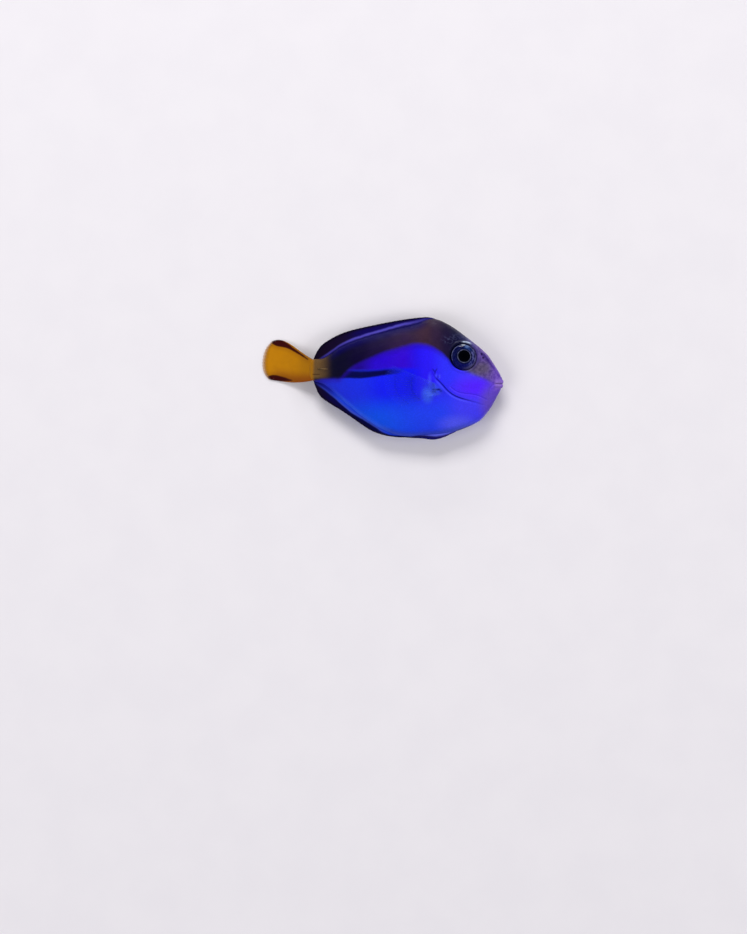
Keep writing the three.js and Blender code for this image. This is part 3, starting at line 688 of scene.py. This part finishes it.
def folded_under(x, y):
    """One where the folded left pectoral fin lies under the flank."""
    middle = np.array([PECTORAL_ROOT.mean(0), left_pectoral_tips.mean(0)])
    return smooth(1.55, 1.15, np.abs(from_line(middle, x, y)))


def keel_fin(front, lean, keel, side, margin):
    """A long fin on the keel, with rays that lean back."""
    def place(t, s):
        root_x = front + (LONG_FIN_ROOT_END - front) * t
        tip_x = np.maximum(root_x - lean(t), LONG_FIN_REAR)
        root_y, tip_y = keel(root_x) - side * SINK, margin(tip_x)
        x, y = root_x + (tip_x - root_x) * s, root_y + (tip_y - root_y) * s
        return x, y, mid_height(x)

    return place


def fan_place(root, tips, t, s):
    """A place of the side view, t across a fan of rays and s out along it."""
    found = []
    for k in (0, 1):
        start = root[0, k] + (root[1, k] - root[0, k]) * t
        tip = np.interp(np.asarray(t, float) * (len(tips) - 1), np.arange(len(tips)), tips[:, k])
        found.append(start + (tip - start) * s)
    return found


def tail_fin(t, s):
    """It droops from the stalk and lies on the floor."""
    x, y = fan_place(TAIL_ROOT, tail_tips, t, s)
    y = y + 0.78 * (1 - t) * np.sin(np.pi * s**1.8) - 0.4 * t * np.sin(np.pi * s**0.8)
    start = mid_height(STALK_END)
    down = np.clip((s - 0.06) / 0.82, 0, 1)
    ripple = 0.1 * np.sin(7 * t + 2.5) * s * (1 - down)
    return x, y, start - (start - TAIL_REST) * np.sin(np.pi / 2 * down) + ripple


def right_pectoral(t, s):
    x, y = fan_place(PECTORAL_ROOT, right_pectoral_tips, t, s)
    lift = 0.06 + 0.28 * smooth(0.0, 0.25, s) + 0.3 * s * s + 0.08 * np.sin(9 * t + 1) * s
    return x, y, mid_height(x) + flank(x, y) + lift


def left_pectoral(t, s):
    x, y = fan_place(PECTORAL_ROOT, left_pectoral_tips, t, s)
    return x, y, np.full_like(x, PECTORAL_REST)


pelvic_depth = through([
    (0, 0.12), (0.07, 0.2), (0.19, 0.42), (0.3, 0.57), (0.42, 0.64), (0.52, 0.56), (0.62, 0.42),
    (0.72, 0.32),
    (0.88, 0.24), (1, 0.2),
])


def pelvic_fin(sign):
    def place(t, s):
        x = PELVIC_FRONT + (PELVIC_REAR + PELVIC_SLANT * t - PELVIC_FRONT) * s
        y = belly_line(x) + 0.1 - pelvic_depth(s) * (1 - t)
        return x, y, mid_height(x) + sign * (0.09 + 0.2 * t + 0.07 * s)

    return place


def tapered(x, y, line):
    """How far a point of the side view lies outside a tapering blot, given as x, y and half its width."""
    return np.min([np.hypot(x - a, y - b) - half for a, b, half in spline(line, 70)], axis=0)


def tail_marks(x, y):
    """Distance from the blots at the tail's two corners."""
    upper = tapered(x, y, [
        (-13.62, 4.6, 0.12), (-13.3, 4.64, 0.38), (-12.82, 4.54, 0.45), (-12.2, 4.32, 0.35),
        (-11.6, 4.03, 0.25),
        (-10.54, 3.35, 0.14), (-9.67, 2.78, 0.1), (-9.1, 2.38, 0.05),
    ])
    lower = tapered(x, y, [
        (-14.12, 0.28, 0.12), (-13.75, 0.2, 0.3), (-13.1, 0.12, 0.36), (-12.4, 0.02, 0.27),
        (-11.7, -0.1, 0.13),
        (-11.2, -0.14, 0.03),
    ])
    return {"blot": np.minimum(upper, lower)}


def foot_marks(foot, side):
    """How far past its pale foot line a point of a long fin lies, square to the line."""
    return lambda x, y: {"past": side * (y - foot(x)) * 0.8}


MEMBRANE_ROWS, STRIPS_A_RAY, NOTCH, THINNEST = 44, 8, 0.018, 0.02


def make_membrane(name, place, rays, thick, edge, foot, look, marks):
    """A thin closed sheet with a notched margin, split alike on both faces."""
    rows, columns = MEMBRANE_ROWS, STRIPS_A_RAY * rays + 1
    t, s = np.meshgrid(np.linspace(0, 1, columns), np.linspace(0, 1, rows))
    notch = 1 - NOTCH * np.abs(np.sin(np.pi * rays * t)) * s
    points = np.stack(place(t, s * notch), 2)
    normal = grid_normals(points, ring=False)
    normal *= np.where(normal[..., 2:] < 0, -1.0, 1.0)
    half = ((thick + (edge - thick) * smooth(0.2, 1.0, s)) / 2 + foot * smooth(0.5, 0.1, s))[..., None]
    upper, lower = points + normal * half, points - normal * half
    lower[..., 2] = np.maximum(lower[..., 2], 0)
    upper[..., 2] = np.maximum(upper[..., 2], THINNEST)
    count = rows * columns
    quads = grid_faces(rows, columns)
    rim = np.concatenate([
        np.arange(columns), np.arange(1, rows) * columns + columns - 1,
        (rows - 1) * columns + np.arange(columns - 2, -1, -1), np.arange(rows - 2, 0, -1) * columns,
    ])
    after = np.roll(rim, -1)
    facing = np.cross(points[0, 1] - points[0, 0], points[1, 0] - points[0, 0])[2]
    front, back, side = quads, quads[:, ::-1] + count, np.stack([rim, rim + count, after + count, after], 1)
    if facing < 0:
        front, back, side = front[:, ::-1], back[:, ::-1], side[:, ::-1]
    values = {"out": s, "across": t}
    if marks:
        values.update(marks(points[..., 0], points[..., 1]))
    values = {key: np.concatenate([value.ravel()] * 2) for key, value in values.items()}
    both = np.concatenate([upper.reshape(-1, 3), lower.reshape(-1, 3)])
    return new_object(name, both, np.concatenate([front, back, side]), values, look)


# Where rays fork for the first and second time, and end, as shares of their length
FIRST_FORK, SECOND_FORK, RAY_END = 0.47, 0.77, 0.99


def ray_paths(place, rays, spines, stout):
    """Paths of the rays and their branches, with a thickness along each."""
    paths = []
    spread = 0.27 / rays
    for i in range(rays):
        t = (i + 0.5) / rays
        if i < spines:
            s = np.linspace(0, RAY_END, 14)
            paths.append((t + 0 * s, s, 1.15 * stout * (1 - 0.75 * s) * (0.5 + 0.5 * smooth(0.1, 0.6, s))))
            continue
        s = np.linspace(0, 0.5, 10)
        paths.append((t + 0 * s, s, stout * (1 - 0.9 * s) * (0.6 + 0.4 * smooth(0.1, 0.5, s))))
        for side in (-1, 1):
            s = np.linspace(FIRST_FORK, 0.8, 8)
            fork = side * spread * 0.62
            paths.append((t + fork * smooth(FIRST_FORK, 0.8, s), s, stout * (0.85 - 0.75 * s)))
            for twig in (-1, 1):
                s = np.linspace(SECOND_FORK, RAY_END, 7)
                parting = spread * 0.34 * (side * 0.6 + twig * 0.8) * smooth(SECOND_FORK, 1.0, s)
                paths.append((t + fork + parting, s, stout * (0.6 - 0.5 * s)))
    return [(np.stack(place(np.clip(t, 0, 1), s), 1), thick, s, np.clip(t, 0, 1)) for t, s, thick in paths]


def ray_tree():
    """Turns paths into round tapering rays. Inputs: how round they are, and how far they swell."""
    tree = bpy.data.node_groups.new("fin_rays", "GeometryNodeTree")
    face = tree.interface
    given = {
        name: face.new_socket(name, in_out="INPUT", socket_type="NodeSocket" + kind)
        for name, kind in (("Geometry", "Geometry"), ("Sides", "Int"), ("Swell", "Float"), ("Finish", "Material"))
    }
    face.new_socket("Geometry", in_out="OUTPUT", socket_type="NodeSocketGeometry")
    given["Sides"].default_value, given["Swell"].default_value = 6, 1.0
    node = {
        key: tree.nodes.new(kind)
        for key, kind in {
            "start": "NodeGroupInput", "path": "GeometryNodeMeshToCurve", "thick": "GeometryNodeInputNamedAttribute",
            "scale": "ShaderNodeMath", "round": "GeometryNodeCurvePrimitiveCircle", "tube": "GeometryNodeCurveToMesh",
            "soft": "GeometryNodeSetShadeSmooth", "real": "GeometryNodeRealizeInstances",
            "paint": "GeometryNodeSetMaterial", "end": "NodeGroupOutput",
        }.items()
    }
    node["thick"].data_type = "FLOAT"
    node["thick"].inputs["Name"].default_value = "thick"
    node["scale"].operation = "MULTIPLY"
    node["round"].inputs["Radius"].default_value = 1.0
    node["tube"].inputs["Fill Caps"].default_value = True
    for a, out, b, into in (
        ("start", "Geometry", "path", "Mesh"), ("path", "Curve", "tube", "Curve"),
        ("thick", "Attribute", "scale", 0), ("start", "Swell", "scale", 1), ("scale", 0, "tube", "Scale"),
        ("start", "Sides", "round", "Resolution"), ("round", "Curve", "tube", "Profile Curve"),
        ("tube", "Mesh", "soft", "Geometry"), ("soft", "Geometry", "real", "Geometry"),
        ("real", "Geometry", "paint", "Geometry"), ("start", "Finish", "paint", "Material"),
        ("paint", "Geometry", "end", "Geometry"),
    ):
        tree.links.new(node[a].outputs[out], node[b].inputs[into])
    return tree, {name: socket.identifier for name, socket in given.items()}


RAY_TREE, RAY_INPUTS = ray_tree()


def make_rays(name, place, rays, spines, stout, look, marks):
    """The rays of a fin, grown along their paths by the ray tree and then made a plain mesh."""
    paths = ray_paths(place, rays, spines, stout)
    points, thick, out, across = [np.concatenate(column) for column in zip(*paths)]
    edges, start = [], 0
    for path, *_ in paths:
        edges += [(start + k, start + k + 1) for k in range(len(path) - 1)]
        start += len(path)
    mesh = bpy.data.meshes.new(name + "_paths")
    mesh.from_pydata((points * MM).tolist(), edges, [])
    store(mesh, {"thick": thick * MM, "out": out, "across": across})
    if marks:
        store(mesh, marks(points[:, 0], points[:, 1]))
    guide = show(name + "_paths", mesh)
    grow = guide.modifiers.new("rays", "NODES")
    grow.node_group = RAY_TREE
    grow[RAY_INPUTS["Sides"]] = 6
    grow[RAY_INPUTS["Swell"]] = 1.0
    grow[RAY_INPUTS["Finish"]] = look
    bpy.context.view_layer.update()
    whole = bpy.data.meshes.new_from_object(guide.evaluated_get(bpy.context.evaluated_depsgraph_get()))
    whole.name = name
    guide.modifiers.clear()
    bpy.data.objects.remove(guide)
    return show(name, whole)


def dark_fin_finish(name, shades, margin, light, body, light_share):
    """A dark membrane. Up to its foot line it has the body's colour, and the line itself is pale."""
    f = Finish(name)
    past = f.add(f.value("past"), f.waver(0.6, 3, 0.12))
    f.colour = f.shades(f.x, shades)
    f.paint(margin, f.step(f.value("out"), 0.66, 0.97))
    f.paint((8, 5, 20), f.step(f.noise(0.8, 4), 0.4, 0.8, 0.0, 0.25))
    f.paint(f.shades(f.x, body), f.step(past, 0.14, -0.06))
    f.paint(light, f.line(past, 0.22), f.shades(f.x, greys(light_share)))
    return f.finish(roughness=f.uneven(0.6, 3, 0.4, 0.56), normal=f.bump(f.noise(0.25, 3), 0.03, 0.35),
                    ior=1.4, specular_ior_level=0.16)


def tail_finish():
    """Yellow, with dark corners and a clear rear margin."""
    f = Finish("yellow_fin")
    out, across = f.value("out"), f.value("across")
    f.colour = f.shades(out, [
        (0.0, (150, 98, 8)), (0.16, (156, 102, 4)), (0.45, (174, 114, 1)), (0.9, (178, 116, 2)),
        (1.0, (196, 138, 40)),
    ])
    f.paint((146, 92, 2), f.step(f.noise(0.9, 3), 0.4, 0.8, 0.0, 0.2))
    f.paint((132, 68, 6), f.step(across, 0.5, 0.95), f.step(out, 0.95, 0.6))
    blot = f.add(f.value("blot"), f.waver(0.7, 3, 0.12))
    f.paint((128, 74, 4), f.step(blot, 0.7, 0.0), 0.45)
    f.paint((54, 8, 8), f.step(blot, 0.09, -0.07))
    return f.finish(roughness=f.uneven(0.6, 3, 0.36, 0.5), alpha=f.step(out, 0.88, 1.0, 1.0, 0.2),
                    normal=f.bump(f.noise(0.2, 3), 0.02, 0.3), ior=1.4, specular_ior_level=0.3)


def clear_fin_finish():
    """Glassy, with a pale streaked foot."""
    f = Finish("pectoral_membrane")
    out, across = f.value("out"), f.value("across")
    sides = f.times(f.step(across, 0.35, 0.85, 0.1, 1.0), f.step(across, 1.0, 0.92))
    ragged = f.add(out, f.times(f.noise(0.5, 3), 0.14))
    foot = f.times(f.step(ragged, 0.5, 0.24), f.step(out, 0.02, 0.2, 0.15, 1.0), sides)
    streaks = f.step(f.math("SINE", f.times(across, 52.0)), -0.6, 0.8, 0.6, 1.0)
    f.colour = f.mix(foot, (40, 60, 244), (86, 122, 250))
    return f.finish(roughness=f.uneven(0.5, 3, 0.25, 0.4), alpha=f.add(f.times(foot, streaks, 0.3), 0.02),
                    normal=f.bump(f.noise(0.3, 3), 0.02, 0.4), ior=1.36, specular_ior_level=0.3)


def pale_ray_finish():
    """Pale blue and mostly clear, more so away from the root."""
    f = Finish("pale_rays")
    pale = srgb(84, 116, 250)
    deeper = tuple(c * 0.55 for c in pale[:3]) + (1.0,)
    f.colour = f.mix(f.step(f.noise(0.4, 2), 0.35, 0.7, 0.0, 0.35), pale, deeper)
    return f.finish(roughness=f.uneven(0.3, 2, 0.3, 0.45), alpha=f.step(f.value("out"), 0.34, 0.06, 0.04, 0.2),
                    ior=1.42, specular_ior_level=0.3)


# Eyes

def eye_finish():
    """Black pupil, thin grey ring, dark blue iris painted bluer below to offset the socket's shade, a pale arc round
    the upper rear edge, and a painted highlight at the top.
    """
    f = Finish("eye")
    away = f.value("away")
    soft = f.add(away, f.waver(0.2, 4, 0.1))
    ahead, above, low_front = round_eye(f, away)
    rear_up = f.minus(f.times(above, 0.78), f.times(ahead, 0.62))
    f.colour = f.shades(soft, [
        (0.0, (1, 2, 5)), (0.72, (2, 3, 7)), (0.77, (30, 34, 52)), (0.82, (98, 100, 134)),
        (0.87, (22, 26, 54)), (0.94, (6, 10, 46)), (1.25, (6, 9, 54)), (1.6, (4, 5, 34)),
    ])
    iris = f.step(away, 0.92, 1.05)
    # Painted light: bluer towards the bottom, offsetting the shade where the eye sinks into its socket.
    f.paint((8, 9, 78), iris, f.step(above, 0.1, -0.7), 0.85)
    f.paint((30, 34, 88), iris, f.step(f.noise(0.18, 3), 0.42, 0.62), 0.4)
    flecks = f.step(f.noise(0.3, 4, (1.6, 0.8, 1.0)), 0.44, 0.62)
    f.paint((84, 86, 142), flecks, iris, f.step(ahead, 0.2, 0.8), 0.7)
    f.paint((70, 66, 108), f.step(away, 1.26, 1.5), f.step(low_front, 0.4, 0.95), 0.7)
    f.paint((16, 42, 96), f.spot(EYE_X + 0.5, EYE_Y + 1.0, 0.45, 0.4, 0.7), iris, 0.8)
    f.paint((84, 108, 156), f.spot(EYE_X + 0.44, EYE_Y + 1.34, 0.26, 0.22, 0.6), iris, 0.8)
    f.paint((10, 14, 44), f.line(f.minus(away, 0.82), 0.14), f.step(f.noise(0.45, 3), 0.6, 0.42, 0.0, 0.6))
    arc = f.times(f.line(f.minus(soft, 1.5), 0.06), f.step(rear_up, 0.2, 0.6))
    f.paint((104, 108, 156), arc, f.step(f.noise(0.5, 3), 0.4, 0.6, 0.35, 1.0))
    # Painted highlight: a small white glint at the top of the eye.
    f.paint((214, 226, 242), f.spot(EYE_X - 0.02, EYE_Y + 1.5, 0.24, 0.07, 0.5), 0.85)
    return f.finish(roughness=f.uneven(0.6, 2, 0.07, 0.11), ior=1.38, specular_ior_level=0.4)


def make_eye(name, side, look):
    """A domed eye set in its socket, turned a little up and forward."""
    level = np.cos(EYE_TILT_UP)
    axis = np.array([
        level * np.sin(EYE_TILT_FORWARD), np.sin(EYE_TILT_UP), side * level * np.cos(EYE_TILT_FORWARD),
    ])
    first = np.cross([0.0, 1.0, 0.0], axis)
    first /= np.linalg.norm(first)
    second = np.cross(axis, first)
    centre = np.array([EYE_X, EYE_Y, mid_height(EYE_X) + side * EYE_DEPTH])
    turns = 72
    dome, wall = np.linspace(0, 1, 44)[1:], np.linspace(0, 1, 14)[1:]
    radius = EYE_RADIUS * np.append(np.sin(np.pi / 2 * dome), 1 + 0.04 * np.sin(np.pi * wall) - 0.45 * wall**3)
    height = np.append(CORNEA_RISE * np.cos(np.pi / 2 * dome), -EYE_BACK * wall)
    turn = np.linspace(0, 2 * np.pi, turns, endpoint=False)
    ring = first * np.cos(turn)[:, None] + second * np.sin(turn)[:, None]
    rings = centre + ring * radius[:, None, None] + axis * height[:, None, None]
    points, faces = close_rings(rings, [centre + axis * CORNEA_RISE, centre - axis * EYE_BACK])
    away = np.append(np.repeat(radius, turns), [0.0, 1.6])
    away[(len(dome) + 1) * turns:-2] = 1.6
    return new_object(name, points, [f[::-1] for f in faces], {"away": away}, look)


# The tail spine: a blade that lies forward in its groove on each side of the stalk

SPINE_START, SPINE_LENGTH, SPINE_LEVEL = -8.05, 1.35, 1.15


def make_tail_spine(name, side, look):
    turns = 12
    share = np.linspace(0, 1, 30)
    x = SPINE_START + SPINE_LENGTH * share
    bulge = np.sin(np.pi * (0.02 + 0.96 * share**0.7)) ** 0.8
    turn = np.linspace(0, 2 * np.pi, turns, endpoint=False)
    base = mid_height(x) + side * (flank(x, np.full_like(x, SPINE_LEVEL)) - 0.01)
    y = SPINE_LEVEL + 0.1 * bulge[:, None] * np.cos(turn)
    z = base[:, None] + 0.11 * bulge[:, None] * np.sin(turn)
    rings = np.stack([np.repeat(x[:, None], turns, 1), y, z], 2)
    points, faces = close_rings(rings)
    return new_object(name, points, faces, {}, look)


def spine_finish():
    f = Finish("tail_spine")
    f.colour = f.mix(f.step(f.x, -8.1, -6.9), (62, 44, 22), (112, 88, 56))
    return f.finish(roughness=f.uneven(0.2, 2, 0.2, 0.4), ior=1.5)


# Building the fish

skin = make_skin()
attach(skin, "root")
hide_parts("head", "torso", "tail_stalk", "gill_cover_right", "gill_cover_left")

plum, navy = (18, 7, 26), (12, 3, 84)
dorsal_film = dark_fin_finish(
    "dorsal_membrane", [(-8.4, plum), (-5.0, (18, 7, 40)), (-2.0, navy), (6.0, (14, 3, 76))],
    (12, 5, 28), (74, 66, 170), [(-8.4, (16, 8, 78)), (6.0, (16, 8, 78))],
    [(-8.4, 0.0), (-6.4, 0.45), (-3.0, 0.85), (2.3, 1.0), (4.6, 0.5), (6.0, 0.2)])
anal_film = dark_fin_finish(
    "anal_membrane", [(-8.4, plum), (-6.0, (8, 3, 60)), (-3.0, (2, 2, 52)), (1.4, (6, 8, 66))],
    (14, 6, 30), (56, 74, 186),
    [(-8.4, (10, 6, 62)), (-6.8, (18, 26, 140)), (-5.0, (28, 62, 210)), (1.4, (28, 62, 210))],
    [(-8.4, 0.1), (-6.4, 0.45), (-4.0, 0.9), (-0.6, 0.8), (0.8, 0.0)])
pelvic_film = dark_fin_finish(
    "pelvic_membrane", [(3.4, (6, 8, 80)), (5.4, (14, 12, 88)), (9.0, (40, 24, 98))],
    (22, 14, 70), (90, 88, 210),
    [(3.0, (40, 66, 212)), (6.0, (84, 92, 214)), (9.0, (84, 92, 214))], [(4.9, 0.0), (9.0, 0.0)])
tail_film = tail_finish()
glassy = clear_fin_finish()
pale_ray = pale_ray_finish()

# How much thicker the fleshy foot of a fin is, on each side
FEET = {"dorsal_fin": 0.2, "anal_fin": 0.2, "caudal_fin": 0.24}
pelvic_marks = foot_marks(pelvic_foot, -1)
# Node, shape, rays, how many of them are unbranched, their thickness, finishes, slot and marks
FINS = [
    ("dorsal_fin", keel_fin(6.9, dorsal_lean, back_line, 1, dorsal_margin), 28, 9, 0.13,
     dorsal_film, dorsal_film, "dark_fin", foot_marks(dorsal_foot, 1)),
    ("anal_fin", keel_fin(3.85, anal_lean, belly_line, -1, anal_margin), 23, 3, 0.12,
     anal_film, anal_film, "dark_fin", foot_marks(belly_foot, -1)),
    ("caudal_fin", tail_fin, 16, 0, 0.11, tail_film, tail_film, "yellow_fin", tail_marks),
    ("pectoral_fin_right", right_pectoral, 16, 0, 0.075, glassy, pale_ray, "clear_fin", None),
    ("pectoral_fin_left", left_pectoral, 16, 0, 0.05, glassy, pale_ray, "clear_fin", None),
    ("pelvic_fin_right", pelvic_fin(1), 4, 1, 0.08, pelvic_film, pelvic_film, "violet_fin", pelvic_marks),
    ("pelvic_fin_left", pelvic_fin(-1), 4, 1, 0.08, pelvic_film, pelvic_film, "violet_fin", pelvic_marks),
]
for node, place, rays, spines, stout, film, bone, slot, marks in FINS:
    foot = FEET.get(node, 0)
    membrane = make_membrane(node + "_membrane", place, rays, stout * 1.5, stout * 0.6, foot, film, marks)
    fan = make_rays(node + "_rays", place, rays, spines, stout, bone, marks)
    for piece in (membrane, fan):
        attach(piece, "root")
    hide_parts(node)

eye_look = eye_finish()
spine_look = spine_finish()
for side, name in ((1, "right"), (-1, "left")):
    eye = make_eye("eyeball_" + name, side, eye_look)
    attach(eye, "root")
    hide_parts("eye_" + name)
    blade = make_tail_spine("tail_spine_" + name, side, spine_look)
    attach(blade, "root")

# The floor, the light and the camera

FLOOR_HALF = 900
pale = Finish("floor")
pale.colour = pale.mix(pale.uneven(6.0, 3, 0.0, 0.2), (226, 222, 226), (216, 212, 218))
corners = [(-FLOOR_HALF, -FLOOR_HALF, 0), (FLOOR_HALF, -FLOOR_HALF, 0), (FLOOR_HALF, FLOOR_HALF, 0),
           (-FLOOR_HALF, FLOOR_HALF, 0)]
floor = new_object("floor", corners, [(0, 1, 2, 3)], {}, pale.finish(roughness=0.7))


def soft_light(name, place_mm, size_mm, power, mirrored=True):
    """A lamp of plain white light that faces the origin."""
    data = bpy.data.lights.new(name, "AREA")
    data.shape = "RECTANGLE"
    data.size, data.size_y = size_mm[0] * MM, size_mm[1] * MM
    data.energy = power
    lamp = show(name, data)
    lamp.location = Vector(place_mm) * MM
    lamp.rotation_euler = (-Vector(place_mm)).to_track_quat("-Z", "Y").to_euler()
    lamp.visible_glossy = mirrored


soft_light("window", (-60, 330, 300), (260, 160), 1.3, False)
soft_light("glint", (30, 400, 110), (120, 50), 0.25)
soft_light("fill", (-300, -160, 340), (300, 300), 0.9, False)
soft_light("side", (340, -60, 260), (240, 240), 0.7, False)

world = bpy.data.worlds.new("studio")
world.use_nodes = True
sky = world.node_tree.nodes["Background"]
sky.inputs["Color"].default_value = (0.93, 0.94, 1.0, 1.0)
sky.inputs["Strength"].default_value = 0.3
world.cycles_visibility.glossy = False
bpy.context.scene.world = world
bpy.context.scene.view_settings.view_transform = "Standard"

# The camera looks straight down. The fish lies in the upper right of the middle of the picture.
CAMERA_X, CAMERA_Y, CAMERA_HEIGHT = -1.05, -10.97, 230.0
SHARP_HEIGHT, PICTURE_TALL, FILM = 2.0, 115.8, 36.0
camera_data = bpy.data.cameras.new("camera")
camera_data.sensor_fit = "AUTO"
camera_data.sensor_width = FILM
camera_data.lens = FILM * (CAMERA_HEIGHT - SHARP_HEIGHT) / PICTURE_TALL
camera_data.clip_start, camera_data.clip_end = 0.005, 5.0
camera = show("camera", camera_data)
camera.location = (CAMERA_X * MM, CAMERA_Y * MM, CAMERA_HEIGHT * MM)
bpy.context.scene.camera = camera

bpy.context.view_layer.update()
